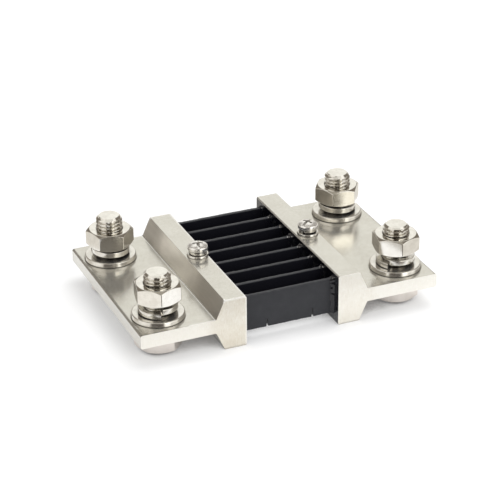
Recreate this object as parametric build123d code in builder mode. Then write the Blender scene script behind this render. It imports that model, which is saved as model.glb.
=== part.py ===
"""Current shunt resistor: two plated end blocks joined by a bank of brazed resistance strips.

Millimetres, +Z up. The origin is in the middle of the base, between the two end blocks.
+X runs along the current path to the right block, and -Y is the near side, where the
outermost strip carries the trim cuts.
"""

from build123d import *

import os
from math import asin, atan2, cos, degrees, pi, radians, sin, tan

os.makedirs("parts", exist_ok=True)

# End blocks: one bar section, sawn to length
block_width = 90.4
block_height = 24.0
crown_length = 10.35
shoulder_run = 3.95
tab_length = 34.7
tab_thickness = 6.5
crown_edge = 0.5
tab_edge = 0.6
foot_radius = 0.8

# Resistance strips, which stand on edge between the blocks
clear_span = 44.0
strip_count = 8
strip_thickness = 2.0
strip_height = 16.9
strip_cover = 3.0
strip_side_inset = 4.7
strip_corner = 0.25
socket_depth = 4.0
socket_clearance = 0.1

# Braze fillet around each strip where it enters a block
fillet_length = 2.6
fillet_rise = 1.3
fillet_tip = 0.15
fillet_hollow = 0.4

# Trim cuts in the lower edge of the near strip: distance from the block, and depth
left_cut_distance = 11.8
left_cut_depth = 3.8
right_cut_distance = 10.4
right_cut_depth = 4.4
cut_width = 0.7
cut_mouth_width = 1.3
cut_mouth_depth = 0.8

# Terminal bolts, M12
bolt_side_distance = 14.7
bolt_end_distance = 13.6
bolt_diameter = 12.0
bolt_length = 27.8
bolt_hole_clearance = 0.5
bolt_end_chamfer = 1.0
hex_sides = 6
hex_across_flats = 19.0
bolt_head_height = 7.5
nut_height = 8.0
nut_bore_clearance = 0.05
nut_countersink = 0.6
hex_chamfer_angle = 30.0
hex_face_inset = 0.3

# Washers under the terminal nuts
washer_diameter = 24.0
washer_bore = 13.0
washer_thickness = 2.2
washer_edge = 0.3
spring_bore = 12.3
spring_width = 2.65
spring_thickness = 2.6
spring_lift = 2.1
spring_gap = 0.8

# How far each terminal nut stands above its spring washer, held there by its thread
near_left_slack = 1.4
near_right_slack = 1.9
far_left_slack = 0.0
far_right_slack = 0.4

# Sense screws, M5, one in the crown of each block, both a little towards +X of its middle
sense_shift = 0.75
sense_diameter = 5.0
sense_length = 12.0
sense_thread_clearance = 0.05
sense_hole_spare = 2.0
sense_head_diameter = 9.2
sense_head_height = 3.0
sense_head_rim = 1.7
sense_head_round = 1.1
sense_end_chamfer = 0.5
slot_width = 1.3
slot_depth = 1.1
cross_span = 4.8
cross_depth = 1.9
sense_washer_diameter = 10.0
sense_washer_bore = 5.3
sense_washer_thickness = 1.1
sense_washer_edge = 0.15
sense_spring_bore = 5.1
sense_spring_width = 1.5
sense_spring_thickness = 1.2
sense_spring_lift = 0.8
sense_spring_gap = 0.5

# How each fastener happens to be turned, in degrees about the vertical
near_left_turns = {"head": -73.2, "nut": -101.2, "split": -102.0}
near_right_turns = {"head": -101.8, "nut": -100.4, "split": -140.0}
far_left_turns = {"head": 15.0, "nut": -74.9, "split": 108.0}
far_right_turns = {"head": 40.0, "nut": -126.0, "split": 100.0}
left_sense_turns = {"slot": 77.0, "split": -20.0}
right_sense_turns = {"slot": 30.0, "split": -150.0}

# Places that follow from the sizes above
inner_x = clear_span / 2
crown_x = inner_x + crown_length
tab_root_x = crown_x + shoulder_run
tab_end_x = tab_root_x + tab_length
tab_bottom = (block_height - tab_thickness) / 2
tab_top = tab_bottom + tab_thickness
strip_top = block_height - strip_cover
strip_bottom = strip_top - strip_height
strip_middle = (strip_top + strip_bottom) / 2
near_strip_y = -block_width / 2 + strip_side_inset + strip_thickness / 2
strip_pitch = -2 * near_strip_y / (strip_count - 1)
bolt_x = tab_end_x - bolt_end_distance
bolt_y = block_width / 2 - bolt_side_distance
spring_seat = tab_top + washer_thickness
spring_crest = spring_seat + spring_thickness + spring_lift
sense_x = inner_x + crown_length / 2
sense_spring_seat = block_height + sense_washer_thickness
sense_head_seat = sense_spring_seat + sense_spring_thickness + sense_spring_lift
sense_grip = sense_head_seat - block_height


def level(x, y, z, turn=0.0):
    """Level plane at a point, its X axis turned about the vertical."""
    return Plane(origin=(x, y, z), x_dir=(cos(radians(turn)), sin(radians(turn)), 0), z_dir=(0, 0, 1))


def upright(base):
    """Vertical plane through the axis of a level plane, for profiles that are turned."""
    return Plane(origin=base.origin, x_dir=base.x_dir, z_dir=-base.y_dir)


def finish(piece, node):
    """Label a finished piece and write it out."""
    piece.part.label = node
    export_step(piece.part, f"parts/{node}.step")


def strip_y(index):
    """Middle plane of a strip, counted from the near side."""
    return near_strip_y + index * strip_pitch


def end_block(side):
    """One end block, side 1 on the right and -1 on the left."""
    outline = [
        (inner_x, 0), (crown_x, 0), (tab_root_x, tab_bottom), (tab_end_x, tab_bottom),
        (tab_end_x, tab_top), (tab_root_x, tab_top), (crown_x, block_height), (inner_x, block_height),
    ]
    with BuildPart() as block:
        with BuildSketch(Plane.XZ) as section:
            with BuildLine():
                Polyline(*outline, close=True)
            make_face()
            inner, crown, root, end = section.vertices().group_by(Axis.X)
            chamfer(inner, crown_edge)
            chamfer(end, tab_edge)
            fillet(root, foot_radius)
        extrude(amount=block_width / 2, both=True)
        # Sockets for the strips, sunk in the inner face
        with BuildSketch(Plane.YZ.offset(inner_x)):
            with Locations(*[(strip_y(i), strip_middle) for i in range(strip_count)]):
                Rectangle(strip_thickness + 2 * socket_clearance, strip_height + 2 * socket_clearance)
        extrude(amount=socket_depth, mode=Mode.SUBTRACT)
        # Clearance holes for the terminal bolts and the tapped hole for the sense screw
        with Locations((bolt_x, -bolt_y, tab_top), (bolt_x, bolt_y, tab_top)):
            Hole(bolt_diameter / 2 + bolt_hole_clearance, depth=tab_thickness)
        with Locations((sense_x + side * sense_shift, 0, block_height)):
            Hole(sense_diameter / 2 + sense_thread_clearance,
                 depth=sense_length - sense_grip + sense_hole_spare)
        if side < 0:
            mirror(about=Plane.YZ, mode=Mode.REPLACE)
    return block


def resistance_strip(index):
    """One strip on edge, let into both blocks. The near one is trimmed by two saw cuts."""
    cuts = [
        (-inner_x + left_cut_distance, left_cut_depth),
        (inner_x - right_cut_distance, right_cut_depth),
    ]
    mouth_angle = degrees(atan2(cut_mouth_depth, (cut_mouth_width - cut_width) / 2))
    with BuildPart() as strip:
        with BuildSketch(Plane.XZ.offset(-strip_y(index))):
            with Locations((0, strip_middle)):
                Rectangle(clear_span + 2 * socket_depth, strip_height)
        extrude(amount=strip_thickness / 2, both=True)
        fillet(strip.edges().filter_by(Axis.X), strip_corner)
        if index == 0:
            with BuildSketch(Plane.XZ.offset(-strip_y(index))):
                for x, depth in cuts:
                    with Locations((x, strip_bottom)):
                        Rectangle(cut_width, depth, align=(Align.CENTER, Align.MIN))
                        Trapezoid(cut_mouth_width, cut_mouth_depth, mouth_angle,
                                  align=(Align.CENTER, Align.MIN))
            extrude(amount=strip_thickness, both=True, mode=Mode.SUBTRACT)
    return strip


def braze_fillets(side):
    """The hollow-sided collar of braze around every strip at one block."""
    stations = [(0, fillet_rise), (fillet_hollow * fillet_length, fillet_hollow * fillet_rise),
                (fillet_length, fillet_tip)]
    with BuildPart() as braze:
        for index in range(strip_count):
            for out, rise in stations:
                with BuildSketch(Plane.YZ.offset(side * (inner_x - out))):
                    with Locations((strip_y(index), strip_middle)):
                        Rectangle(strip_thickness + 2 * rise, strip_height + 2 * rise)
            loft(ruled=True)
        with BuildSketch(Plane.YZ):
            with Locations(*[(strip_y(i), strip_middle) for i in range(strip_count)]):
                Rectangle(strip_thickness, strip_height)
        extrude(amount=side * inner_x, mode=Mode.SUBTRACT)
    return braze


def hexagon(base, height, low_chamfer, high_chamfer):
    """Hexagonal prism on a level plane, its corners turned down to a cone at the chosen faces."""
    corner = hex_across_flats / 2 / cos(pi / hex_sides)
    face = hex_across_flats / 2 - hex_face_inset
    drop = (corner - face) * tan(radians(hex_chamfer_angle))
    low = [(face, 0), (corner, drop)] if low_chamfer else [(corner, 0)]
    high = [(corner, height - drop), (face, height)] if high_chamfer else [(corner, height)]
    envelope = [(0, 0), *low, *high, (0, height)]
    with BuildPart() as prism:
        with BuildSketch(base):
            RegularPolygon(hex_across_flats / 2, hex_sides, major_radius=False)
        extrude(amount=height)
        with BuildSketch(upright(base)):
            with BuildLine():
                Polyline(*envelope, close=True)
            make_face()
        revolve(axis=Axis(base.origin, base.z_dir), mode=Mode.INTERSECT)
    return prism


def terminal_bolt(x, y, turn):
    """Hex-head bolt, its head drawn up against the underside of the tab."""
    head = hexagon(level(x, y, tab_bottom - bolt_head_height, turn), bolt_head_height, True, False)
    with BuildPart() as bolt:
        add(head.part)
        with BuildSketch(level(x, y, tab_bottom)):
            Circle(bolt_diameter / 2)
        extrude(amount=bolt_length)
        chamfer(bolt.faces().sort_by(Axis.Z)[-1].edges(), bolt_end_chamfer)
    return bolt


def hex_nut(x, y, z, turn):
    """Nut run down a bolt to a given height, chamfered on both faces."""
    blank = hexagon(level(x, y, z, turn), nut_height, True, True)
    with BuildPart() as nut:
        add(blank.part)
        with Locations((x, y, z + nut_height)):
            Hole(bolt_diameter / 2 + nut_bore_clearance, depth=nut_height)
        rims = nut.edges().filter_by(GeomType.CIRCLE).sort_by(SortBy.RADIUS)[:2]
        chamfer(rims, nut_countersink)
    return nut


def flat_washer(x, y, z, outer, bore, thickness, edge):
    """Punched ring, its upper rim rounded over by the punch."""
    with BuildPart() as washer:
        with BuildSketch(level(x, y, z)):
            Circle(outer / 2)
            Circle(bore / 2, mode=Mode.SUBTRACT)
        extrude(amount=thickness)
        fillet(washer.faces().sort_by(Axis.Z)[-1].outer_wire().edges(), edge)
    return washer


def spring_washer(base, bore, width, thickness, lift, gap):
    """Split ring of square wire, wound left-handed, its low end on the base plane."""
    radius = (bore + width) / 2
    turn = 1 - degrees(2 * asin(gap / 2 / radius)) / 360
    with BuildPart() as coil:
        with BuildLine() as path:
            Helix(lift / turn, lift, radius, center=(0, 0, thickness / 2), lefthand=True)
        with BuildSketch(Plane(origin=path.line @ 0, x_dir=(1, 0, 0), z_dir=path.line % 0)):
            Rectangle(width, thickness)
        sweep(path=path.line, is_frenet=True)
    with BuildPart() as ring:
        with Locations(Location(base)):
            add(coil.part)
    return ring


def sense_screw(x, turn):
    """Pan-head screw with a slot across a cross recess, turned into the crown of a block."""
    base = level(x, 0, sense_head_seat, turn)
    radius = sense_head_diameter / 2
    with BuildPart() as screw:
        with BuildSketch(upright(base)) as profile:
            with BuildLine():
                Line((0, 0), (radius, 0))
                Line((radius, 0), (radius, sense_head_rim))
                RadiusArc((radius, sense_head_rim), (0, sense_head_height), -dome_radius())
                Line((0, sense_head_height), (0, 0))
            make_face()
            rim = profile.vertices().sort_by_distance((radius, sense_head_rim))[0]
            fillet(rim, sense_head_round)
        revolve(axis=Axis(base.origin, base.z_dir))
        with BuildSketch(base):
            Circle(sense_diameter / 2)
        extrude(amount=-sense_length)
        chamfer(screw.faces().sort_by(Axis.Z)[0].edges(), sense_end_chamfer)
        crown = base.offset(sense_head_height)
        with BuildSketch(crown):
            Rectangle(sense_head_diameter, slot_width)
        extrude(amount=-slot_depth, mode=Mode.SUBTRACT)
        with BuildSketch(crown):
            Rectangle(cross_span, slot_width)
            Rectangle(slot_width, cross_span)
        extrude(amount=-cross_depth, mode=Mode.SUBTRACT)
    return screw


def dome_radius():
    """Radius of the arc that closes a pan head above its rim."""
    rise = sense_head_height - sense_head_rim
    radius = sense_head_diameter / 2
    return (radius ** 2 + rise ** 2) / (2 * rise)


def terminal(corner, side, row, turns, slack):
    """The bolt, washers and nut of one terminal; side and row are -1 or 1."""
    x = side * bolt_x
    y = row * bolt_y
    finish(terminal_bolt(x, y, turns["head"]), f"terminal_bolt_{corner}")
    finish(flat_washer(x, y, tab_top, washer_diameter, washer_bore, washer_thickness, washer_edge),
           f"flat_washer_{corner}")
    finish(spring_washer(level(x, y, spring_seat, turns["split"]), spring_bore, spring_width,
                         spring_thickness, spring_lift, spring_gap), f"spring_washer_{corner}")
    finish(hex_nut(x, y, spring_crest + slack, turns["nut"]), f"hex_nut_{corner}")


def sense_terminal(hand, side, turns):
    """The screw and washers of one sense terminal."""
    x = side * sense_x + sense_shift
    finish(flat_washer(x, 0, block_height, sense_washer_diameter, sense_washer_bore,
                       sense_washer_thickness, sense_washer_edge), f"sense_flat_washer_{hand}")
    finish(spring_washer(level(x, 0, sense_spring_seat, turns["split"]), sense_spring_bore,
                         sense_spring_width, sense_spring_thickness, sense_spring_lift,
                         sense_spring_gap), f"sense_spring_washer_{hand}")
    finish(sense_screw(x, turns["slot"]), f"sense_screw_{hand}")


finish(end_block(-1), "left_end_block")
finish(end_block(1), "right_end_block")
finish(braze_fillets(-1), "left_braze_fillets")
finish(braze_fillets(1), "right_braze_fillets")
for number in range(strip_count):
    finish(resistance_strip(number), f"resistance_strip_{number + 1}")

terminal("near_left", -1, -1, near_left_turns, near_left_slack)
terminal("near_right", 1, -1, near_right_turns, near_right_slack)
terminal("far_left", -1, 1, far_left_turns, far_left_slack)
terminal("far_right", 1, 1, far_right_turns, far_right_slack)
sense_terminal("left", -1, left_sense_turns)
sense_terminal("right", 1, right_sense_turns)
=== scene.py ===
"""Dresses the current shunt resistor: camera, studio, materials and the pieces with finer shapes.

Everything is in metres in the row frame once it is in the scene. Sizes are named in millimetres,
apart from those of the floor and the lamps, and mesh code works in millimetres up to the point
where a mesh is made.
"""

import math

import bmesh
import bpy
import numpy as np
from mathutils import Matrix, Vector, noise


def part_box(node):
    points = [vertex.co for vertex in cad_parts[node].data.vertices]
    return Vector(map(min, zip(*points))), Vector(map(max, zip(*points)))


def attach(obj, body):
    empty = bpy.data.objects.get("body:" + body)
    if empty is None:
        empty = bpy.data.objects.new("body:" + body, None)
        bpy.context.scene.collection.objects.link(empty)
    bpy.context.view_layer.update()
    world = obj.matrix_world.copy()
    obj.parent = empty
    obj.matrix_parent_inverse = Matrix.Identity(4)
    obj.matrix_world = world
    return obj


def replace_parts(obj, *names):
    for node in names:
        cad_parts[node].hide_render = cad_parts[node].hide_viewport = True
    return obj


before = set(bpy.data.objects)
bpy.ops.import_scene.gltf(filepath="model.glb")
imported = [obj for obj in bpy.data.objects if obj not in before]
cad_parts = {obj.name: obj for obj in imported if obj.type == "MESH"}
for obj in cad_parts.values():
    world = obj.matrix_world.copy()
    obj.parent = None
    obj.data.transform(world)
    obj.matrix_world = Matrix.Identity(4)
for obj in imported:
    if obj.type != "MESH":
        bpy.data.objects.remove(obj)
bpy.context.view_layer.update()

MM = 0.001
BODY = "root"

# Camera, solved from the corners of the two end blocks
CAMERA_AZIMUTH = -23.16
CAMERA_ELEVATION = 26.72
CAMERA_ROLL = -0.42
CAMERA_DISTANCE = 885.4
CAMERA_RIGHT = -1.0
CAMERA_UP = 18.7
CAMERA_LENS = 138.73
SENSOR_WIDTH = 36.0

# What metal sees round the object: a dim room with white cards and paper. Each card has an azimuth,
# half width and blur, a bottom, top and blur of both (all in degrees), and a tone
ROOM_TONE = (0.21, 0.185, 0.155, 1)
CARDS = (
    (75.0, 125.0, 8.0, -90.0, 6.0, 5.0, (0.80, 0.77, 0.72, 1)),
    (142.0, 16.0, 3.0, -14.0, 12.0, 5.0, (0.58, 0.53, 0.46, 1)),
    (-42.0, 19.0, 5.0, -8.0, 62.0, 6.0, (1.1, 1.08, 1.03, 1)),
    (-73.0, 12.0, 4.0, -10.0, 42.0, 6.0, (1.8, 1.77, 1.68, 1)),
    (-167.0, 24.0, 5.0, -90.0, 64.0, 6.0, (0.97, 0.94, 0.895, 1)),
    (161.0, 14.0, 5.0, 14.0, 64.0, 5.0, (0.9, 0.87, 0.81, 1)),
    (72.0, 32.0, 8.0, 42.0, 64.0, 5.0, (0.95, 0.93, 0.88, 1)),
    (67.0, 15.0, 8.0, 6.0, 64.0, 5.0, (1.0, 0.99, 0.94, 1)),
    (-115.0, 23.0, 4.0, -40.0, 2.0, 5.0, (0.055, 0.043, 0.034, 1)),
    (-112.0, 24.0, 4.0, 4.0, 46.0, 5.0, (0.08, 0.065, 0.05, 1)),
    (-115.0, 55.0, 10.0, 54.0, 71.0, 5.0, (0.85, 0.83, 0.78, 1)),
)
CEILING_ELEVATION = 73.0
CEILING_BLUR = 5.0
CEILING_TONE = (0.38, 0.35, 0.30, 1)
AMBIENT_LEVEL = 0.62
WHITE = (1, 1, 1, 1)

# Floor, in metres: the near part is close enough to the object for the fasteners to mirror it
NEAR_FLOOR = (0.100, 0.075)
FAR_FLOOR = 6.0

# Paper on the floor: its tones, one a painted shade, the reach of that shade under the object in
# millimetres, and its own glow under the object (lowered as painted shade), in the open and far
# away
PAPER_TONE = (0.8, 0.8, 0.8, 1)
PAPER_SEEN = (0.69, 0.69, 0.69, 1)
PAPER_SHADED = (0.20, 0.165, 0.15, 1)
SHADE_REACH = 16.0
GLOW_SHADED = 0.02
GLOW_OPEN = 0.35
GLOW_FAR = 0.7

# Drawn plate of the blocks, and the painted reflection on their slanted shoulders, dim or bright
PLATE_DARK = (0.575, 0.55, 0.49, 1)
PLATE_LIGHT = (0.72, 0.705, 0.645, 1)
PLATE_MARBLED = (0.95, 0.94, 0.89, 1)
PLATE_SPECKLED = (0.84, 0.82, 0.76, 1)
DIM_REFLECTION_DARK = (0.34, 0.32, 0.28, 1)
DIM_REFLECTION_LIGHT = (0.52, 0.49, 0.44, 1)
BRIGHT_REFLECTION_DARK = (0.84, 0.80, 0.72, 1)
BRIGHT_REFLECTION_LIGHT = (1.0, 0.965, 0.88, 1)

# Sawn ends of the blocks
SAWN_DARK = (0.83, 0.785, 0.69, 1)
SAWN_LIGHT = (0.90, 0.87, 0.79, 1)
SAWN_RIDGE = (0.98, 0.965, 0.91, 1)
SAWN_PIT = (0.64, 0.57, 0.45, 1)
SAWN_LOW = (0.70, 0.63, 0.50, 1)
SAWN_BROWN = (0.62, 0.54, 0.40, 1)
SAWN_PALE = (1.0, 0.985, 0.93, 1)

# Places on an end block between which a tone or painted light comes in, as distances from the
# middle of the part or heights: the bright painted reflection on the shoulders, the sawn ends, the
# top of the tab, its strip beside the shoulder (painted highlight), its tip (painted dark
# reflection), and the upper corners of the sawn ends (painted highlight)
REFLECTION_MIDDLE = 6.0
REFLECTION_SPAN = (38.0, 16.0)
SAWN_LOW_HEIGHT = (14.0, 2.0)
SAWN_PALE_SPAN = (34.0, 44.0)
TAB_HEIGHT = (17.5, 16.5)
FOOT_SPAN = (50.0, 48.0)
TIP_SPAN = (69.5, 70.0)
BROW_SPAN = (43.5, 44.0)
BROW_HEIGHT = (22.6, 23.0)

# Painted highlights and a painted dark reflection on edges, painted shade in tight places, and
# painted shade on the plating below the tabs
EDGE_HIGHLIGHT = (1.0, 0.985, 0.95, 1)
PAINTED_DARK_TONE = (0.060, 0.047, 0.037, 1)
UNDER_TAB_SHADE = (0.74, 0.665, 0.62, 1)

# Black paint on the inner faces of the blocks, and black lacquer on strips and braze; each drawn
# darker between the strips as painted shade
PAINT_TONE = (0.009, 0.009, 0.012, 1)
PAINT_FLECK = (0.10, 0.097, 0.11, 1)
PAINT_IN_SHADE = (0.004, 0.004, 0.006, 1)
LACQUER_DUST = (0.10, 0.10, 0.11, 1)
LACQUER_WORN = (0.012, 0.012, 0.015, 1)
LACQUER_IN_SHADE = (0.010, 0.010, 0.014, 1)
BARE_BRAZE = (0.62, 0.61, 0.60, 1)

# Hexagons and threads
HEX_FLATS = 19.0
HEX_FACE_RADIUS = 9.2
HEX_CHAMFER = math.tan(math.radians(30))
HEX_CORNER_ROUND = 0.38
HEX_ARC_POINTS = 5
NUT_SIDE_POINTS = 9
BOLT_SIDE_POINTS = 11
EDGE_ROUND = 0.2
BOLT_RADIUS = 6.0
BOLT_CHAMFER = 1.4
CHAMFER_ROWS = 7
THREAD_PITCH = 1.75
THREAD_DEPTH = 1.07
THREAD_LENGTH = 17.0
THREAD_STEPS = 12
HEAD_HEIGHT = 7.5
HEAD_TOP = 8.75
NUT_BORE_RADIUS = 6.05
NUT_COUNTERSINK = 0.15

# Shares of half a thread pitch: the flat root, and the flank that rises from it
THREAD_ROOT = 0.25
THREAD_FLANK = 0.6

# How each fastener is turned, in degrees about the vertical
TERMINAL_TURNS = {
    "near_left": {"head": -73.2, "nut": -101.2, "split": -102.0},
    "near_right": {"head": -101.8, "nut": -100.4, "split": -140.0},
    "far_left": {"head": 15.0, "nut": -74.9, "split": 108.0},
    "far_right": {"head": 40.0, "nut": -126.0, "split": 100.0},
}
SENSE_SPLITS = {"left": -20.0, "right": -150.0}

# Flat washers: bores, how far the rims are rolled over and drawn in as shares of the thickness,
# and the steps of that rounding
WASHER_BORE = 13.0
SENSE_WASHER_BORE = 5.3
WASHER_ROUND = 0.22
WASHER_DRAFT = 0.2
WASHER_ROUND_STEPS = 5

# Spring washers: bore, width, thickness, lift and gap, then the rounding as a share of the wire
# and the points of its arcs
TERMINAL_SPRING = (12.3, 2.65, 2.6, 2.1, 0.8)
SENSE_SPRING = (5.1, 1.5, 1.2, 0.8, 0.5)
SPRING_ROUND = 0.14
SPRING_ARC_POINTS = 5

# Steps once round a flat or a spring washer
RING_STEPS = 96

# Strips, and the lacquer that sags and builds up along their edges
STRIP_COUNT = 8
BANK_SIDE = 40.5
STRIP_CORNER = 0.3
STRIP_ARC_POINTS = 4
STRIP_SPACING = 0.5
STRIP_ROWS = 131
COAT_EDGE = 0.8
COAT_COARSE_SIZE = 3.0
COAT_FINE_SIZE = 0.9
COAT_FINE_SEED = 20
COAT_LEVEL_DEPTH = 0.02
COAT_COARSE_DEPTH = 0.07
COAT_FINE_DEPTH = 0.06

# Trim cuts in the near strip: place along X and depth, then what both share
CUTS = ((-10.2, 3.8), (11.6, 4.4))
CUT_WIDTH = 0.7
CUT_MOUTH = 1.3
CUT_MOUTH_DEPTH = 0.8
CUT_OVERSHOOT = 1.0
CUT_REACH = 3.0

# Braze collars: where they start, how far they reach and rise at most, the power that hollows
# their slope, their thickness at the tip, how far their back lies inside the strip, and their
# rows of points as shares of their length
INNER_FACE = 22.0
FILLET_LENGTH = 2.6
FILLET_RISE = 1.3
FILLET_HOLLOW = 1.7
COLLAR_TIP = 0.06
COLLAR_BITE = 0.12
COLLAR_SPACING = 0.45
COLLAR_ROWS = (0.0, 0.12, 0.26, 0.42, 0.6, 0.8, 1.0)

# Uneven braze: it swells and has lumps, both drawn out up the strip
UP_THE_STRIP = (1.0, 1.0, 0.3)
SWELL_SIZE = 2.2
SWELL_SEED = 40
SWELL_SHIFT = 7
LUMP_SIZE = 1.1
LUMP_SEED = 60
LUMP_DEPTH = 0.09
LUMP_FADE = 0.6
HAND_SEED = 3

# Noise for both: shift for each seed, roughness, growth of the detail and its octaves
RIPPLE_SHIFT = (17.3, 5.1, 9.7)
RIPPLE_ROUGHNESS = 0.6
RIPPLE_GROWTH = 2.0
RIPPLE_OCTAVES = 3

# The two end blocks, and the side that each lies on
HANDS = {"left": -1, "right": 1}

# Corners of a section: the side and height that they lie on, and where their arcs start
SECTION_CORNERS = ((1, 1, 0), (-1, 1, 90), (-1, -1, 180), (1, -1, 270))

# The most that rounding takes of a side of a profile, so that two neighbours never meet
MOST_CUT = 0.45


def sine(degrees):
    return math.sin(math.radians(degrees))


def cosine(degrees):
    return math.cos(math.radians(degrees))


def make_camera():
    """The photo's camera, from its azimuth, elevation, roll and distance."""
    back = Vector((sine(CAMERA_AZIMUTH) * cosine(CAMERA_ELEVATION),
                   -cosine(CAMERA_AZIMUTH) * cosine(CAMERA_ELEVATION), sine(CAMERA_ELEVATION)))
    level_right = (-back).cross(Vector((0, 0, 1))).normalized()
    right = Matrix.Rotation(math.radians(CAMERA_ROLL), 3, back) @ level_right
    up = back.cross(right)
    data = bpy.data.cameras.new("photo_camera")
    data.lens = CAMERA_LENS
    data.sensor_width = SENSOR_WIDTH
    data.clip_start = 0.01
    data.clip_end = 50
    camera = bpy.data.objects.new("photo_camera", data)
    place = (back * CAMERA_DISTANCE + right * CAMERA_RIGHT + up * CAMERA_UP) * MM
    turned_to_view = Matrix((right, up, back)).transposed().to_4x4()
    camera.matrix_world = Matrix.Translation(place) @ turned_to_view
    bpy.context.scene.collection.objects.link(camera)
    bpy.context.scene.camera = camera


class Tree:
    """Small helper that adds and joins shader nodes."""

    def __init__(self, tree):
        self.tree = tree
        tree.nodes.clear()

    def put(self, socket, value):
        """Joins a socket to another socket, or sets it to a value."""
        if isinstance(value, bpy.types.NodeSocket):
            self.tree.links.new(value, socket)
        else:
            socket.default_value = value

    def add(self, kind, inputs=None, **settings):
        node = self.tree.nodes.new(kind)
        for key, value in settings.items():
            setattr(node, key, value)
        for key, value in (inputs or {}).items():
            self.put(node.inputs[key], value)
        return node

    def math(self, operation, a, b=0.0):
        return self.add("ShaderNodeMath", {0: a, 1: b}, operation=operation).outputs[0]

    def plus(self, a, b):
        return self.math("ADD", a, b)

    def times(self, a, b):
        return self.math("MULTIPLY", a, b)

    def most(self, a, b):
        return self.math("MAXIMUM", a, b)

    def unsigned(self, value):
        return self.math("ABSOLUTE", value)

    def vector(self, operation, a, b):
        node = self.add("ShaderNodeVectorMath", {0: a, 1: b}, operation=operation)
        return node.outputs["Value" if operation == "DOT_PRODUCT" else "Vector"]

    def stretched(self, place, factors):
        return self.vector("MULTIPLY", place, factors)

    def parts(self, vector):
        """The x, y and z of a vector."""
        return self.add("ShaderNodeSeparateXYZ", {0: vector}).outputs

    def step(self, value, low, high):
        """0 at low, 1 at high and smooth between them. Low may be the greater of the two."""
        node = self.add("ShaderNodeMapRange", {0: value, 1: low, 2: high},
                        interpolation_type="SMOOTHSTEP")
        return node.outputs[0]

    def blend(self, amount, a, b):
        """A number that goes from a to b."""
        node = self.add("ShaderNodeMapRange", {0: amount, 3: a, 4: b})
        return node.outputs[0]

    def mix(self, amount, a, b):
        """A colour that goes from a to b."""
        node = self.add("ShaderNodeMix", data_type="RGBA")
        self.put(node.inputs[0], amount)
        self.put(node.inputs[6], a)
        self.put(node.inputs[7], b)
        return node.outputs[2]

    def tint(self, colour, tone, amount, strength):
        """A colour drawn towards a tone, by the strength at most."""
        return self.mix(self.times(amount, strength), colour, tone)

    def noise(self, place, size, detail=3.0, roughness=0.5):
        """Noise with features of about the given size, in the units of place."""
        node = self.add("ShaderNodeTexNoise", {"Vector": place, "Scale": 1 / size,
                                               "Detail": detail, "Roughness": roughness})
        return node.outputs[0]

    def seen_or_mirrored(self):
        """1 for rays from the camera, a mirror or a clear body, and 0 for stray light."""
        path = self.add("ShaderNodeLightPath").outputs
        seen = self.most(path["Is Camera Ray"], path["Is Transmission Ray"])
        return self.most(seen, path["Is Glossy Ray"])


def make_world():
    """A white studio for the eye, and for metal a dim room with cards of white round it."""
    world = bpy.data.worlds.new("studio")
    bpy.context.scene.world = world
    world.use_nodes = True
    tree = Tree(world.node_tree)
    direction = tree.add("ShaderNodeTexCoord").outputs["Generated"]
    level = tree.vector("NORMALIZE", tree.stretched(direction, (1, 1, 0)), (0, 0, 0))
    height = tree.parts(direction)[2]
    tone = ROOM_TONE
    for azimuth, half_width, blur, bottom, top, edge_blur, card_tone in CARDS:
        towards = tree.vector("DOT_PRODUCT", level, (cosine(azimuth), sine(azimuth), 0))
        inside = tree.step(towards, cosine(half_width + blur), cosine(half_width - blur))
        above = tree.step(height, sine(max(bottom - edge_blur, -90)), sine(bottom + edge_blur))
        below = tree.step(height, sine(top + edge_blur), sine(top - edge_blur))
        tone = tree.mix(tree.times(inside, tree.times(above, below)), tone, card_tone)
    overhead = tree.step(height, sine(CEILING_ELEVATION - CEILING_BLUR),
                         sine(CEILING_ELEVATION + CEILING_BLUR))
    tone = tree.mix(overhead, tone, CEILING_TONE)
    eye = tree.add("ShaderNodeLightPath").outputs["Is Camera Ray"]
    ambient = tree.add("ShaderNodeBackground", {"Color": WHITE, "Strength": AMBIENT_LEVEL})
    backdrop = tree.add("ShaderNodeBackground", {"Color": tree.mix(eye, tone, WHITE),
                                                 "Strength": 1.0})
    both = tree.add("ShaderNodeMixShader", {0: tree.seen_or_mirrored(), 1: ambient.outputs[0],
                                            2: backdrop.outputs[0]})
    tree.add("ShaderNodeOutputWorld", {"Surface": both.outputs[0]})


def floor_material():
    """Pale paper: white in the open. Under the object it keeps the lamps' soft shadow, deepened
    there by painted shade.
    """
    material, tree = new_material("floor_white")
    seen = tree.seen_or_mirrored()
    shade = tree.add("ShaderNodeAmbientOcclusion", {"Distance": SHADE_REACH * MM}, samples=8)
    # Painted shade: where the object hems the paper in, it is drawn darker and glows less
    open_sky = tree.step(shade.outputs["AO"], 0.05, 0.28)
    tone = tree.mix(open_sky, PAPER_SHADED, tree.mix(seen, PAPER_TONE, PAPER_SEEN))
    paper = tree.add("ShaderNodeBsdfDiffuse", {"Color": tone})
    place = tree.add("ShaderNodeTexCoord").outputs["Object"]
    away = tree.add("ShaderNodeVectorMath", {0: place}, operation="LENGTH").outputs["Value"]
    level = tree.plus(tree.blend(open_sky, GLOW_SHADED, GLOW_OPEN),
                      tree.times(tree.step(away, 0.2, 0.9), GLOW_FAR))
    glow = tree.add("ShaderNodeEmission", {"Color": WHITE, "Strength": tree.times(seen, level)})
    both = tree.add("ShaderNodeAddShader", {0: paper.outputs[0], 1: glow.outputs[0]})
    tree.add("ShaderNodeOutputMaterial", {"Surface": both.outputs[0]})
    return material


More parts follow.
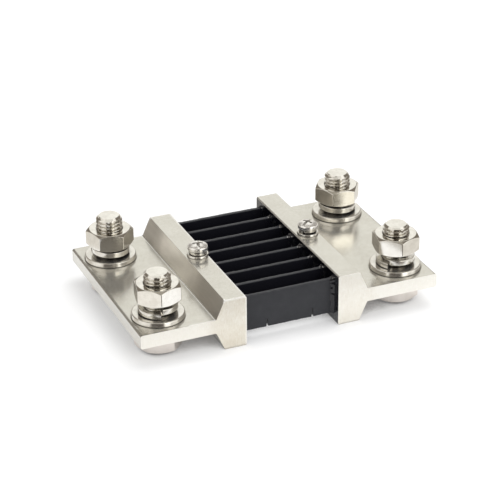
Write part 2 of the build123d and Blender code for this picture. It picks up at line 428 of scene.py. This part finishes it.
def make_floor():
    """One level floor: the part under and beside the object, and the rest round it."""
    material = floor_material()
    x, y = NEAR_FLOOR
    near = [(-x, -y, 0), (x, -y, 0), (x, y, 0), (-x, y, 0)]
    far = [(math.copysign(FAR_FLOOR, x), math.copysign(FAR_FLOOR, y), 0) for x, y, _ in near]
    ring = [(i, (i + 1) % 4, (i + 1) % 4 + 4, i + 4) for i in range(4)]
    for name, points, faces in (("floor_near", near, [(0, 1, 2, 3)]),
                                ("floor_far", far + near, ring)):
        mesh = bpy.data.meshes.new(name)
        mesh.from_pydata(points, [], faces)
        mesh.materials.append(material)
        floor = bpy.data.objects.new(name, mesh)
        bpy.context.scene.collection.objects.link(floor)
        floor.visible_glossy = name == "floor_near"


def area_light(name, place, size, power):
    """A square soft light that points at the origin, in metres and watts. Metal doesn't mirror
    it."""
    data = bpy.data.lights.new(name, "AREA")
    data.shape = "SQUARE"
    data.size = size
    data.energy = power
    lamp = bpy.data.objects.new(name, data)
    lamp.location = place
    lamp.rotation_euler = Vector(place).to_track_quat("Z", "Y").to_euler()
    lamp.visible_glossy = False
    bpy.context.scene.collection.objects.link(lamp)


def make_lights():
    """A large soft key overhead, a little to the far side, and a fill from the near side."""
    area_light("key", place=(0.25, 0.22, 0.90), size=0.8, power=5.0)
    area_light("fill", place=(0.25, -0.9, 0.5), size=0.7, power=3.6)


def new_material(name):
    """A new material and the tree of its nodes."""
    material = bpy.data.materials.new(name)
    material.use_nodes = True
    return material, Tree(material.node_tree)


def finish_material(tree, inputs):
    """One principled shader with these inputs, joined to the output."""
    shader = tree.add("ShaderNodeBsdfPrincipled", inputs)
    tree.add("ShaderNodeOutputMaterial", {"Surface": shader.outputs[0]})


def millimetres(tree):
    """Object coordinates in millimetres."""
    place = tree.add("ShaderNodeTexCoord").outputs["Object"]
    return tree.stretched(place, (1 / MM, 1 / MM, 1 / MM))


def facing(tree):
    """The x, y and z of the direction that the surface faces."""
    return tree.parts(tree.add("ShaderNodeTexCoord").outputs["Normal"])


def unbent_normal(tree):
    return tree.add("ShaderNodeNewGeometry").outputs["Normal"]


def soft_edges(tree, radius):
    """Normals rounded over at the edges, as plating and handling leave them."""
    return tree.add("ShaderNodeBevel", {"Radius": radius * MM}, samples=4).outputs[0]


def crevices(tree, reach, low, high):
    """1 in tight places, where little light gets in, and 0 in the open."""
    node = tree.add("ShaderNodeAmbientOcclusion", {"Distance": reach * MM}, samples=6)
    return tree.step(node.outputs["AO"], high, low)


def bump(tree, height, depth, normal):
    """Bump with a given depth in millimetres."""
    node = tree.add("ShaderNodeBump", {"Height": height, "Distance": depth * MM, "Strength": 1.0,
                                       "Normal": normal})
    return node.outputs[0]


def plate_colour(tree, place, speckle, clouds, slope):
    """Clouded and marbled plate. The shoulders carry a painted reflection, bright in the middle of
    the bar and dim towards its ends."""
    plate = tree.mix(clouds, PLATE_DARK, PLATE_LIGHT)
    marbling = tree.step(tree.noise(place, 1.6, 5, 0.65), 0.35, 0.65)
    plate = tree.tint(plate, PLATE_MARBLED, marbling, 0.12)
    plate = tree.tint(plate, PLATE_SPECKLED, tree.step(speckle, 0.45, 0.75), 0.35)
    # Painted reflection on the shoulders: streaked, bright in the middle of the bar and dim towards
    # its ends
    streaks = tree.noise(tree.stretched(place, (1.0, 0.1, 1.0)), 2.0, 4, 0.6)
    wander = tree.times(tree.noise(place, 14.0, 2), 16.0)
    from_middle = tree.unsigned(tree.math("SUBTRACT", tree.parts(place)[1], REFLECTION_MIDDLE))
    reflected_middle = tree.step(tree.plus(from_middle, wander), *REFLECTION_SPAN)
    dim_reflection = tree.mix(streaks, DIM_REFLECTION_DARK, DIM_REFLECTION_LIGHT)
    bright_reflection = tree.mix(streaks, BRIGHT_REFLECTION_DARK, BRIGHT_REFLECTION_LIGHT)
    return tree.mix(slope, plate, tree.mix(reflected_middle, dim_reflection, bright_reflection))


def sawn_colour(tree, place, mottle, marks, left, right):
    """Mottled saw cut with short marks: browner low down and on the left block, paler on the tabs
    and on the right block."""
    x, _, z = tree.parts(place)
    cut = tree.mix(tree.step(mottle, 0.25, 0.75), SAWN_DARK, SAWN_LIGHT)
    cut = tree.tint(cut, SAWN_RIDGE, tree.step(marks, 0.5, 0.7), 0.7)
    cut = tree.tint(cut, SAWN_PIT, tree.step(marks, 0.45, 0.3), 0.5)
    cut = tree.tint(cut, SAWN_LOW, tree.step(z, *SAWN_LOW_HEIGHT), 0.3)
    cut = tree.tint(cut, SAWN_BROWN, left, 0.14)
    outer = tree.step(tree.unsigned(x), *SAWN_PALE_SPAN)
    pale = tree.most(tree.times(outer, 0.6), tree.times(right, 0.35))
    return tree.mix(pale, cut, SAWN_PALE)


def painted_edge_lines(tree, place, facing_z, inward, right):
    """Painted highlights along edges, more so on the left block, and a painted dark reflection
    along the rims of the tab tips."""
    x, y, z = tree.parts(place)
    eased = soft_edges(tree, 1.4)
    turning = tree.step(tree.vector("DOT_PRODUCT", eased, unbent_normal(tree)), 0.997, 0.97)
    inner_chamfer = tree.times(tree.step(inward, 0.5, 0.65), tree.step(facing_z, 0.5, 0.65))
    turning = tree.most(turning, inner_chamfer)
    eased_outward = tree.times(tree.parts(eased)[0], tree.math("SIGN", x))
    towards_bank = tree.step(eased_outward, -0.05, -0.25)
    on_tab = tree.times(tree.step(facing_z, 0.8, 0.95), tree.step(z, *TAB_HEIGHT))
    foot = tree.times(on_tab, tree.step(tree.unsigned(x), *FOOT_SPAN))
    brow = tree.times(tree.step(tree.unsigned(y), *BROW_SPAN), tree.step(z, *BROW_HEIGHT))
    marked = tree.most(tree.most(towards_bank, foot), brow)
    highlit_edges = tree.times(tree.times(turning, marked), tree.blend(right, 1.0, 0.3))
    tip = tree.times(on_tab, tree.step(tree.unsigned(x), *TIP_SPAN))
    return highlit_edges, tree.times(turning, tip)


def block_material():
    """Satin nickel plate with painted highlights and a painted dark reflection on its edges, and
    painted shade in tight places. The sawn ends are paler and coarser, and the inner face is
    painted black."""
    material, tree = new_material("plated_block")
    place = millimetres(tree)
    x, y, _ = tree.parts(place)
    facing_x, facing_y, facing_z = facing(tree)
    left, right = tree.step(x, 1.0, -1.0), tree.step(x, -1.0, 1.0)

    # Where each finish lies, and where the painted edge lines go
    sawn = tree.step(tree.unsigned(facing_y), 0.85, 0.95)
    slope = tree.times(tree.step(tree.unsigned(facing_x), 0.7, 0.85),
                       tree.step(facing_z, 0.2, 0.35))
    inward = tree.times(tree.times(facing_x, tree.math("SIGN", x)), -1.0)
    ragged = tree.times(tree.noise(place, 0.8, 4), 0.25)
    painted = tree.step(tree.plus(inward, ragged), 0.93, 0.98)
    highlit_edges, dark_tip_edges = painted_edge_lines(tree, place, facing_z, inward, right)

    # Grain drawn along the bar, soft clouds and speckle in the plating, and the saw's marks
    grain = tree.noise(tree.stretched(place, (1.0, 0.06, 1.0)), 0.35, 5, 0.6)
    clouds = tree.noise(place, 9.0, 4)
    speckle = tree.noise(place, 0.25, 3, 0.7)
    mottle = tree.noise(place, 5.0, 6, 0.65)
    marks = tree.noise(tree.stretched(place, (1.6, 1.0, 0.5)), 0.8, 5, 0.7)

    colour = tree.mix(sawn, plate_colour(tree, place, speckle, clouds, slope),
                      sawn_colour(tree, place, mottle, marks, left, right))
    # Painted highlights along edges, and a painted dark reflection along the rims of the tab tips
    colour = tree.tint(colour, EDGE_HIGHLIGHT, highlit_edges, 0.9)
    colour = tree.tint(colour, PAINTED_DARK_TONE, dark_tip_edges, 0.8)
    paint = tree.tint(PAINT_TONE, PAINT_FLECK, tree.step(marks, 0.45, 0.75), 0.5)
    # The black paint between the strips is drawn darker still, as painted shade
    paint = tree.mix(tree.step(tree.unsigned(y), BANK_SIDE, BANK_SIDE - 1.0), paint, PAINT_IN_SHADE)
    colour = tree.mix(painted, colour, paint)
    # Painted shade in tight places, such as the contact lines under the washers
    colour = tree.tint(colour, PAINTED_DARK_TONE, crevices(tree, 2.0, 0.4, 0.62), 0.9)

    dull = tree.most(tree.blend(sawn, 0.2, 0.6), tree.times(highlit_edges, 0.8))
    metal = tree.math("SUBTRACT", 1.0, tree.most(dull, painted))
    rough = tree.blend(clouds, 0.15, 0.23)
    rough = tree.plus(rough, tree.times(slope, 0.14))
    rough = tree.plus(rough, tree.times(sawn, 0.2))
    rough = tree.math("SUBTRACT", rough, tree.times(painted, 0.14))

    normal = bump(tree, grain, 0.012, soft_edges(tree, 0.2))
    normal = bump(tree, speckle, 0.006, normal)
    normal = bump(tree, tree.times(tree.plus(mottle, marks), sawn), 0.10, normal)
    brushed = tree.times(tree.noise(place, 2.2, 4, 0.7), painted)
    normal = bump(tree, brushed, 0.25, normal)
    finish_material(tree, {"Base Color": colour, "Metallic": metal, "Roughness": rough,
                           "Normal": normal})
    return material


def bright_material(name, light, shade, rough, crevice_shade, metal, soften=0.0):
    """Bright nickel plate with faint smudges, fine grain and painted highlights on its edges. Tight
    places get painted shade, and the plating below the tabs a brownish painted shade."""
    material, tree = new_material(name)
    place = millimetres(tree)
    smudge = tree.noise(place, 3.5, 4, 0.6)
    fine = tree.noise(place, 0.3, 4, 0.7)
    colour = tree.mix(tree.step(smudge, 0.3, 0.7), shade, light)
    colour = tree.tint(colour, light, tree.step(fine, 0.55, 0.8), 0.25)
    # Painted shade, a little brownish, on the plating below the tabs
    below_tab = tree.step(tree.parts(place)[2], HEAD_TOP + 0.3, HEAD_TOP - 0.3)
    colour = tree.tint(colour, UNDER_TAB_SHADE, below_tab, 0.6)
    # Painted shade in tight places, and a fainter one that reaches further under and between parts
    colour = tree.tint(colour, PAINTED_DARK_TONE, crevices(tree, 2.6, 0.25, 0.66), crevice_shade)
    colour = tree.tint(colour, PAINTED_DARK_TONE, crevices(tree, 9.0, 0.25, 0.75), 0.15)
    flat = unbent_normal(tree)
    # Painted highlights along the edges
    turning = tree.vector("DOT_PRODUCT", soft_edges(tree, 0.3), flat)
    colour = tree.tint(colour, EDGE_HIGHLIGHT, tree.step(turning, 0.99, 0.93), 0.7)
    normal = bump(tree, fine, 0.006, soft_edges(tree, soften) if soften else flat)
    finish_material(tree, {"Base Color": colour, "Metallic": metal,
                           "Roughness": tree.blend(smudge, *rough), "Normal": normal})
    return material


def lacquer_material(name, low, high, rough, ripple, gloss, walls):
    """Black lacquer with dust, runs and a slightly greyer bloom, drawn blacker between the strips
    as painted shade. Walls are the strips' own, and what isn't wall is braze, which shows bare
    specks on top."""
    material, tree = new_material(name)
    place = millimetres(tree)
    upward = facing(tree)[2]
    top = tree.step(upward, 0.5, 0.8)
    bloom = tree.noise(place, 5.0, 4, 0.6)
    dust = tree.step(tree.noise(place, 0.35, 4, 0.75), 0.62, 0.8)
    colour = tree.tint(tree.mix(bloom, low, high), LACQUER_DUST, dust, 0.5)
    patches = tree.noise(tree.stretched(place, (1.0, 0.4, 1.0)), 0.9, 4, 0.7)
    marked = tree.times(top, tree.step(patches, 0.35, 0.65))
    colour = tree.tint(colour, LACQUER_WORN, marked, 0.5)

    within = tree.step(tree.unsigned(tree.parts(place)[1]), BANK_SIDE - 0.3, BANK_SIDE - 0.7)
    # Painted shade: blacker in tight places and, on the walls, between the strips
    shade_between = tree.times(crevices(tree, 14.0, 0.5, 0.9), tree.blend(top, 1.0, 0.3))
    shade_between = tree.times(shade_between, tree.blend(within, 0.15, 1.0))
    if walls:
        steep = tree.step(tree.unsigned(upward), 0.75, 0.45)
        shade_between = tree.most(shade_between, tree.times(within, steep))
    colour = tree.mix(shade_between, colour, LACQUER_IN_SHADE)

    drawn = tree.stretched(place, (1.0, 1.0, 1.0 if walls else 0.3))
    normal = bump(tree, tree.noise(drawn, 1.4, 5, 0.65), ripple, soft_edges(tree, 0.12))
    bare = 0.0
    if not walls:
        specks = tree.step(tree.noise(place, 0.7, 3, 0.6), 0.56, 0.62)
        bare = tree.times(specks, tree.step(upward, 0.35, 0.6))
        colour = tree.mix(bare, colour, BARE_BRAZE)
    finish_material(tree, {"Base Color": colour, "Roughness": tree.blend(bloom, *rough),
                           "Specular IOR Level": gloss, "Metallic": bare, "Normal": normal})
    return material


def box_of(node):
    """Low and high corner of a CAD node's box, in millimetres."""
    low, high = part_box(node)
    return np.array(low) / MM, np.array(high) / MM


def axis_of(node):
    """Middle of a CAD node's box in plan, with its lowest height, in millimetres."""
    low, high = box_of(node)
    return np.array([(low[0] + high[0]) / 2, (low[1] + high[1]) / 2, low[2]])


def height_of(node):
    low, high = box_of(node)
    return high[2] - low[2]


def arm_at(bearing):
    """Arrow of length 1 at an angle in radians."""
    return np.array([math.cos(bearing), math.sin(bearing)])


def face_outward(mesh, weld=False):
    """Turns all faces of a closed mesh outward, and joins points that lie on each other."""
    work = bmesh.new()
    work.from_mesh(mesh)
    if weld:
        bmesh.ops.remove_doubles(work, verts=work.verts, dist=1e-7)
    bmesh.ops.recalc_face_normals(work, faces=work.faces)
    work.to_mesh(mesh)
    work.free()


def skin(name, rings, material, closed, sharp=40.0):
    """A piece from rings of points in millimetres. Closed joins the last ring to the first."""
    count, points = rings.shape[:2]
    faces = []
    for ring in range(count if closed else count - 1):
        following = (ring + 1) % count
        for point in range(points):
            beside = (point + 1) % points
            faces.append((ring * points + point, ring * points + beside,
                          following * points + beside, following * points + point))
    mesh = bpy.data.meshes.new(name)
    mesh.from_pydata((rings.reshape(-1, 3) * MM).tolist(), [], faces)
    face_outward(mesh, weld=True)
    mesh.polygons.foreach_set("use_smooth", [True] * len(mesh.polygons))
    mesh.set_sharp_from_angle(angle=math.radians(sharp))
    mesh.materials.append(material)
    piece = bpy.data.objects.new(name, mesh)
    bpy.context.scene.collection.objects.link(piece)
    flatter = piece.modifiers.new("flat_faces", "WEIGHTED_NORMAL")
    flatter.keep_sharp = True
    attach(piece, BODY)
    return piece


def capped(rings):
    """Rings with both ends closed by a ring that has shrunk to a point."""
    first = np.broadcast_to(rings[0].mean(axis=0), rings[0].shape)
    last = np.broadcast_to(rings[-1].mean(axis=0), rings[0].shape)
    return np.concatenate([first[None], rings, last[None]])


def hexagon(side_points):
    """Angles and radii round a hexagon with rounded corners, its first corner at angle 0."""
    reach = (HEX_FLATS / 2 - HEX_CORNER_ROUND) / math.cos(math.pi / 6)
    points = []
    for corner in range(6):
        bearing = corner * math.pi / 3
        centre = arm_at(bearing) * reach
        for turn in np.linspace(-math.pi / 6, math.pi / 6, HEX_ARC_POINTS):
            points.append(centre + HEX_CORNER_ROUND * arm_at(bearing + turn))
        following = arm_at(bearing + math.pi / 3) * reach
        off = HEX_CORNER_ROUND * arm_at(bearing + math.pi / 6)
        for share in np.linspace(0, 1, side_points + 2)[1:-1]:
            points.append(centre * (1 - share) + following * share + off)
    points = np.array(points)
    return np.arctan2(points[:, 1], points[:, 0]), np.hypot(points[:, 0], points[:, 1])


def box_section(half_width, half_height, corner, arc_points, spacing=math.inf):
    """Points and outward directions round a rectangle with rounded corners. Its sides have points
    at about the given spacing."""
    points, outward = [], []
    for corner_x, corner_z, start in SECTION_CORNERS:
        centre = np.array([corner_x * (half_width - corner), corner_z * (half_height - corner)])
        for bend in np.radians(np.linspace(start, start + 90, arc_points)):
            points.append(centre + corner * arm_at(bend))
            outward.append(arm_at(bend))
        along_width = (corner_x > 0) == (corner_z > 0)
        run = 2 * ((half_width if along_width else half_height) - corner)
        arm = arm_at(math.radians(start + 90))
        heading = np.array([-arm[1], arm[0]])
        parts = max(int(run / spacing), 1)
        for share in np.linspace(0, 1, parts + 1)[1:-1]:
            points.append(centre + corner * arm + heading * run * share)
            outward.append(arm)
    return np.array(points), np.array(outward)


def rounded(profile, cut, closed=False, steps=3):
    """Profile with its corners cut back and rounded. Each of its points holds a radius and a
    height for every angle."""
    count = len(profile)
    result = []
    for index, point in enumerate(profile):
        if not closed and index in (0, count - 1):
            result.append(point)
            continue
        before = profile[index - 1] - point
        after = profile[(index + 1) % count] - point
        start = point + before * np.minimum(cut / np.linalg.norm(before, axis=0), MOST_CUT)
        end = point + after * np.minimum(cut / np.linalg.norm(after, axis=0), MOST_CUT)
        for share in np.linspace(0, 1, steps + 1):
            rest = 1 - share
            result.append(start * rest ** 2 + 2 * point * share * rest + end * share ** 2)
    return result


def level_point(radius, height, angles):
    """A profile point that has the same height, and maybe the same radius, at every angle."""
    return np.stack([np.broadcast_to(radius, angles.shape),
                     np.broadcast_to(height, angles.shape)])


def turned(profile, angles, centre, turn=0.0):
    """Rings of points from a profile that goes round an upright axis."""
    bearing = angles + math.radians(turn)
    return np.array([np.stack([centre[0] + radius * np.cos(bearing),
                               centre[1] + radius * np.sin(bearing),
                               centre[2] + height], axis=-1) for radius, height in profile])


def hex_sides(angles, outline, height, top_chamfer):
    """Profile points up the side of a hexagon whose corners are turned down to a cone, at its
    lower face and maybe at its upper one."""
    drop = (outline - HEX_FACE_RADIUS) * HEX_CHAMFER
    points = [level_point(HEX_FACE_RADIUS, 0.0, angles), level_point(outline, drop, angles)]
    if not top_chamfer:
        return points + [level_point(outline, height, angles)]
    return points + [level_point(outline, height - drop, angles),
                     level_point(HEX_FACE_RADIUS, height, angles)]


def make_nut(corner, turn, material):
    """Hexagon nut with both faces chamfered and its bore countersunk."""
    node = f"hex_nut_{corner}"
    height = height_of(node)
    angles, outline = hexagon(NUT_SIDE_POINTS)
    mouth = NUT_BORE_RADIUS + NUT_COUNTERSINK
    profile = [level_point(NUT_BORE_RADIUS, NUT_COUNTERSINK, angles),
               level_point(mouth, 0.0, angles)]
    profile += hex_sides(angles, outline, height, True)
    profile += [level_point(mouth, height, angles),
                level_point(NUT_BORE_RADIUS, height - NUT_COUNTERSINK, angles)]
    rings = turned(rounded(profile, EDGE_ROUND, closed=True), angles, axis_of(node), turn)
    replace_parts(skin(f"nut_{corner}", rings, material, True), node)


def thread_rows(height, angles):
    """Profile points up a rolled thread that runs in over one pitch, to an end chamfered at 45
    degrees."""
    first, chamfer = height - THREAD_LENGTH, height - BOLT_CHAMFER
    heights = np.append(np.arange(first, chamfer, THREAD_PITCH / THREAD_STEPS),
                        np.linspace(chamfer, height, CHAMFER_ROWS))
    rows = []
    for z in heights:
        phase = (z / THREAD_PITCH - angles / (2 * math.pi)) % 1.0
        flank = np.clip((np.abs(phase - 0.5) * 2 - THREAD_ROOT) / THREAD_FLANK, 0, 1)
        flank = flank * flank * (3 - 2 * flank)
        run_in = min((z - first) / THREAD_PITCH, 1.0)
        radius = BOLT_RADIUS - THREAD_DEPTH * (1 - flank) * run_in
        rows.append(level_point(np.minimum(radius, BOLT_RADIUS + (chamfer - z)), z, angles))
    return rows


def make_bolt(corner, turn, material):
    """Hexagon bolt, threaded up to its end."""
    node = f"terminal_bolt_{corner}"
    height = height_of(node)
    angles, outline = hexagon(BOLT_SIDE_POINTS)
    head = [level_point(0.0, 0.0, angles)] + hex_sides(angles, outline, HEAD_HEIGHT, False)
    profile = rounded(head + [level_point(BOLT_RADIUS, HEAD_HEIGHT, angles)], EDGE_ROUND)
    profile += thread_rows(height, angles)
    profile += [level_point(BOLT_RADIUS - BOLT_CHAMFER - EDGE_ROUND, height, angles),
                level_point(0.0, height, angles)]
    rings = turned(profile, angles, axis_of(node), turn)
    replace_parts(skin(f"bolt_{corner}", rings, material, False), node)


def make_washer(name, node, bore, material):
    """Flat washer, its rim drawn in towards the top and its corners rolled over by the punch."""
    low, high = box_of(node)
    outer, thickness = (high[0] - low[0]) / 2, high[2] - low[2]
    angles = np.linspace(0, 2 * math.pi, RING_STEPS + 1)[:-1]
    shoulder = outer - WASHER_DRAFT * thickness
    profile = [level_point(bore / 2, 0.0, angles), level_point(outer, 0.0, angles),
               level_point(shoulder, thickness, angles), level_point(bore / 2, thickness, angles)]
    profile = rounded(profile, WASHER_ROUND * thickness, closed=True, steps=WASHER_ROUND_STEPS)
    rings = turned(profile, angles, axis_of(node))
    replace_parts(skin(name, rings, material, True), node)


def make_spring(name, node, washer_node, split, sizes, material):
    """Split ring of square wire with its edges eased, on a flat washer."""
    bore, width, thickness, lift, gap = sizes
    centre = axis_of(washer_node) + (0, 0, height_of(washer_node) + thickness / 2)
    radius = (bore + width) / 2
    turn = 2 * math.pi - 2 * math.asin(gap / 2 / radius)
    ease = SPRING_ROUND * min(width, thickness)
    section, _ = box_section(width / 2, thickness / 2, ease, SPRING_ARC_POINTS)
    rings = []
    for share in np.linspace(0, 1, RING_STEPS + 1):
        bearing = math.radians(split) - turn * share
        arm = radius + section[:, 0]
        rings.append(np.stack([centre[0] + arm * math.cos(bearing),
                               centre[1] + arm * math.sin(bearing),
                               centre[2] + lift * share + section[:, 1]], axis=-1))
    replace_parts(skin(name, capped(np.array(rings)), material, False), node)


def make_fasteners(fastener, washer):
    """Bolts, nuts and washers of the four terminals, and the washers of the sense screws."""
    for corner, turns in TERMINAL_TURNS.items():
        make_bolt(corner, turns["head"], fastener)
        make_nut(corner, turns["nut"], fastener)
        make_washer(f"washer_{corner}", f"flat_washer_{corner}", WASHER_BORE, washer)
        make_spring(f"lock_ring_{corner}", f"spring_washer_{corner}", f"flat_washer_{corner}",
                    turns["split"], TERMINAL_SPRING, washer)
    for hand, split in SENSE_SPLITS.items():
        make_washer(f"sense_washer_{hand}", f"sense_flat_washer_{hand}", SENSE_WASHER_BORE, washer)
        make_spring(f"sense_lock_ring_{hand}", f"sense_spring_washer_{hand}",
                    f"sense_flat_washer_{hand}", split, SENSE_SPRING, washer)


def ripples(places, size, seed):
    """Noise of about -1 to 1 at each place, with features of about the given size."""
    shift = Vector([seed * part for part in RIPPLE_SHIFT])
    heights = [noise.fractal(Vector(place) / size + shift, RIPPLE_ROUGHNESS, RIPPLE_GROWTH,
                             RIPPLE_OCTAVES, noise_basis="PERLIN_ORIGINAL")
               for place in places.reshape(-1, 3)]
    return np.array(heights).reshape(places.shape[:-1])


def strip_section(number, spacing):
    """Box of a strip, then points and outward directions round its section, which is centred on
    its axis."""
    low, high = box_of(f"resistance_strip_{number}")
    _, half_width, half_height = (high - low) / 2
    section, outward = box_section(half_width, half_height, STRIP_CORNER, STRIP_ARC_POINTS,
                                   spacing)
    return low, high, section, outward


def push(places, outward, amount):
    """Moves the points of a ring outward, in place."""
    places[..., 1] += amount * outward[:, 0]
    places[..., 2] += amount * outward[:, 1]


def make_strip(number, material):
    """One lacquered strip. The lacquer sags and builds up a little along its edges."""
    low, high, section, outward = strip_section(number, STRIP_SPACING)
    middle, half_height = (low + high) / 2, (high[2] - low[2]) / 2
    places = np.empty((STRIP_ROWS, len(section), 3))
    places[:, :, 0] = np.linspace(low[0], high[0], STRIP_ROWS)[:, None]
    places[:, :, 1:] = middle[1:] + section
    at_edge = np.clip(1 - (half_height - np.abs(section[:, 1])) / COAT_EDGE, 0, 1)
    coarse = ripples(places, COAT_COARSE_SIZE, number)
    fine = ripples(places, COAT_FINE_SIZE, number + COAT_FINE_SEED)
    build_up = COAT_COARSE_DEPTH * coarse + COAT_FINE_DEPTH * fine
    push(places, outward, COAT_LEVEL_DEPTH * coarse + at_edge * build_up)
    piece = skin(f"strip_{number}", capped(places), material, False, sharp=60.0)
    if number == 1:
        saw_cuts(piece, middle[1], low[2])
    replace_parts(piece, f"resistance_strip_{number}")


def saw_cuts(piece, y, bottom):
    """The two trim cuts up from the lower edge, each a little wider at its mouth."""
    for index, (x, depth) in enumerate(CUTS):
        half_outline = [(CUT_MOUTH / 2, -CUT_OVERSHOOT), (CUT_MOUTH / 2, 0.0),
                        (CUT_WIDTH / 2, CUT_MOUTH_DEPTH), (CUT_WIDTH / 2, depth)]
        outline = half_outline + [(-off, rise) for off, rise in reversed(half_outline)]
        count = len(outline)
        vertices = [((x + off) * MM, (y + side * CUT_REACH) * MM, (bottom + rise) * MM)
                    for side in (-1, 1) for off, rise in outline]
        faces = [tuple(range(count)), tuple(reversed(range(count, 2 * count)))]
        faces += [(i, i + count, (i + 1) % count + count, (i + 1) % count) for i in range(count)]
        mesh = bpy.data.meshes.new("cutter")
        mesh.from_pydata(vertices, [], faces)
        face_outward(mesh)
        cutter = bpy.data.objects.new(f"cutter_{index}", mesh)
        bpy.context.scene.collection.objects.link(cutter)
        trim = piece.modifiers.new("cut", "BOOLEAN")
        trim.operation = "DIFFERENCE"
        trim.solver = "EXACT"
        trim.object = cutter
        bpy.context.view_layer.update()
        evaluated = piece.evaluated_get(bpy.context.evaluated_depsgraph_get())
        result = bpy.data.meshes.new_from_object(evaluated)
        piece.modifiers.clear()
        piece.data = result
        bpy.data.objects.remove(cutter)


def collar_rings(number, side):
    """Rings of one braze collar: out along the strip over its lumpy skin, and back within it."""
    low, high, section, outward = strip_section(number, COLLAR_SPACING)
    base = np.empty((len(section), 3))
    base[:, 0] = side * INNER_FACE
    base[:, 1:] = (low + high)[1:] / 2 + section
    seed = number + side * HAND_SEED

    # It reaches from 0.3 to all of the full length, and rises from 0.25 to all of the full height
    swell = ripples(base * UP_THE_STRIP, SWELL_SIZE, seed + SWELL_SEED)
    reach = FILLET_LENGTH * np.clip(0.72 + 0.5 * swell, 0.3, 1.0)
    rise = FILLET_RISE * np.clip(0.55 + 0.35 * np.roll(swell, SWELL_SHIFT), 0.25, 1.0)
    rings = []
    for share in COLLAR_ROWS:
        places = base.copy()
        places[:, 0] -= side * reach * share
        push(places, outward, rise * (1 - share) ** FILLET_HOLLOW + COLLAR_TIP)
        lumps = ripples(places * UP_THE_STRIP, LUMP_SIZE, seed + LUMP_SEED)
        push(places, outward, lumps * LUMP_DEPTH * (1 - LUMP_FADE * share))
        rings.append(places)
    for share in (1.0, 0.0):
        places = base.copy()
        places[:, 0] -= side * reach * share
        push(places, outward, -COLLAR_BITE)
        rings.append(places)
    return np.array(rings)


def make_braze(hand, side, material):
    """Collars of lacquered braze where the strips enter one block, lumpy and drawn out unevenly."""
    collars = [skin(f"braze_{hand}_{number}", collar_rings(number, side), material,
                    True, sharp=70.0) for number in range(1, STRIP_COUNT + 1)]
    for collar in collars:
        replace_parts(collar, f"{hand}_braze_fillets")


def dress_nodes(block, screw):
    """Materials for the CAD nodes that stay."""
    for hand in HANDS:
        for name, chosen in ((f"{hand}_end_block", block), (f"sense_screw_{hand}", screw)):
            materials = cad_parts[name].data.materials
            materials.clear()
            materials.append(chosen)


make_camera()
make_world()
make_floor()
make_lights()

bpy.context.scene.view_settings.view_transform = "Standard"

block_finish = block_material()
fastener_finish = bright_material(
    "bright_fastener", light=(0.90, 0.88, 0.83, 1), shade=(0.80, 0.775, 0.72, 1),
    rough=(0.06, 0.12), crevice_shade=0.3, metal=1.0)
washer_finish = bright_material(
    "bright_washer", light=(0.87, 0.85, 0.80, 1), shade=(0.76, 0.735, 0.68, 1),
    rough=(0.12, 0.22), crevice_shade=0.9, metal=0.92)
screw_finish = bright_material(
    "bright_screw", light=(0.98, 0.965, 0.93, 1), shade=(0.91, 0.89, 0.85, 1),
    rough=(0.16, 0.26), crevice_shade=0.15, metal=0.82, soften=0.4)
strip_finish = lacquer_material(
    "black_strip", low=(0.034, 0.035, 0.039, 1), high=(0.050, 0.051, 0.056, 1),
    rough=(0.26, 0.36), ripple=0.02, gloss=0.15, walls=True)
braze_finish = lacquer_material(
    "black_braze", low=(0.006, 0.006, 0.008, 1), high=(0.014, 0.014, 0.018, 1),
    rough=(0.08, 0.15), ripple=0.03, gloss=0.45, walls=False)

make_fasteners(fastener_finish, washer_finish)
for strip_number in range(1, STRIP_COUNT + 1):
    make_strip(strip_number, strip_finish)
for block_hand, block_side in HANDS.items():
    make_braze(block_hand, block_side, braze_finish)
dress_nodes(block_finish, screw_finish)

bpy.context.view_layer.update()
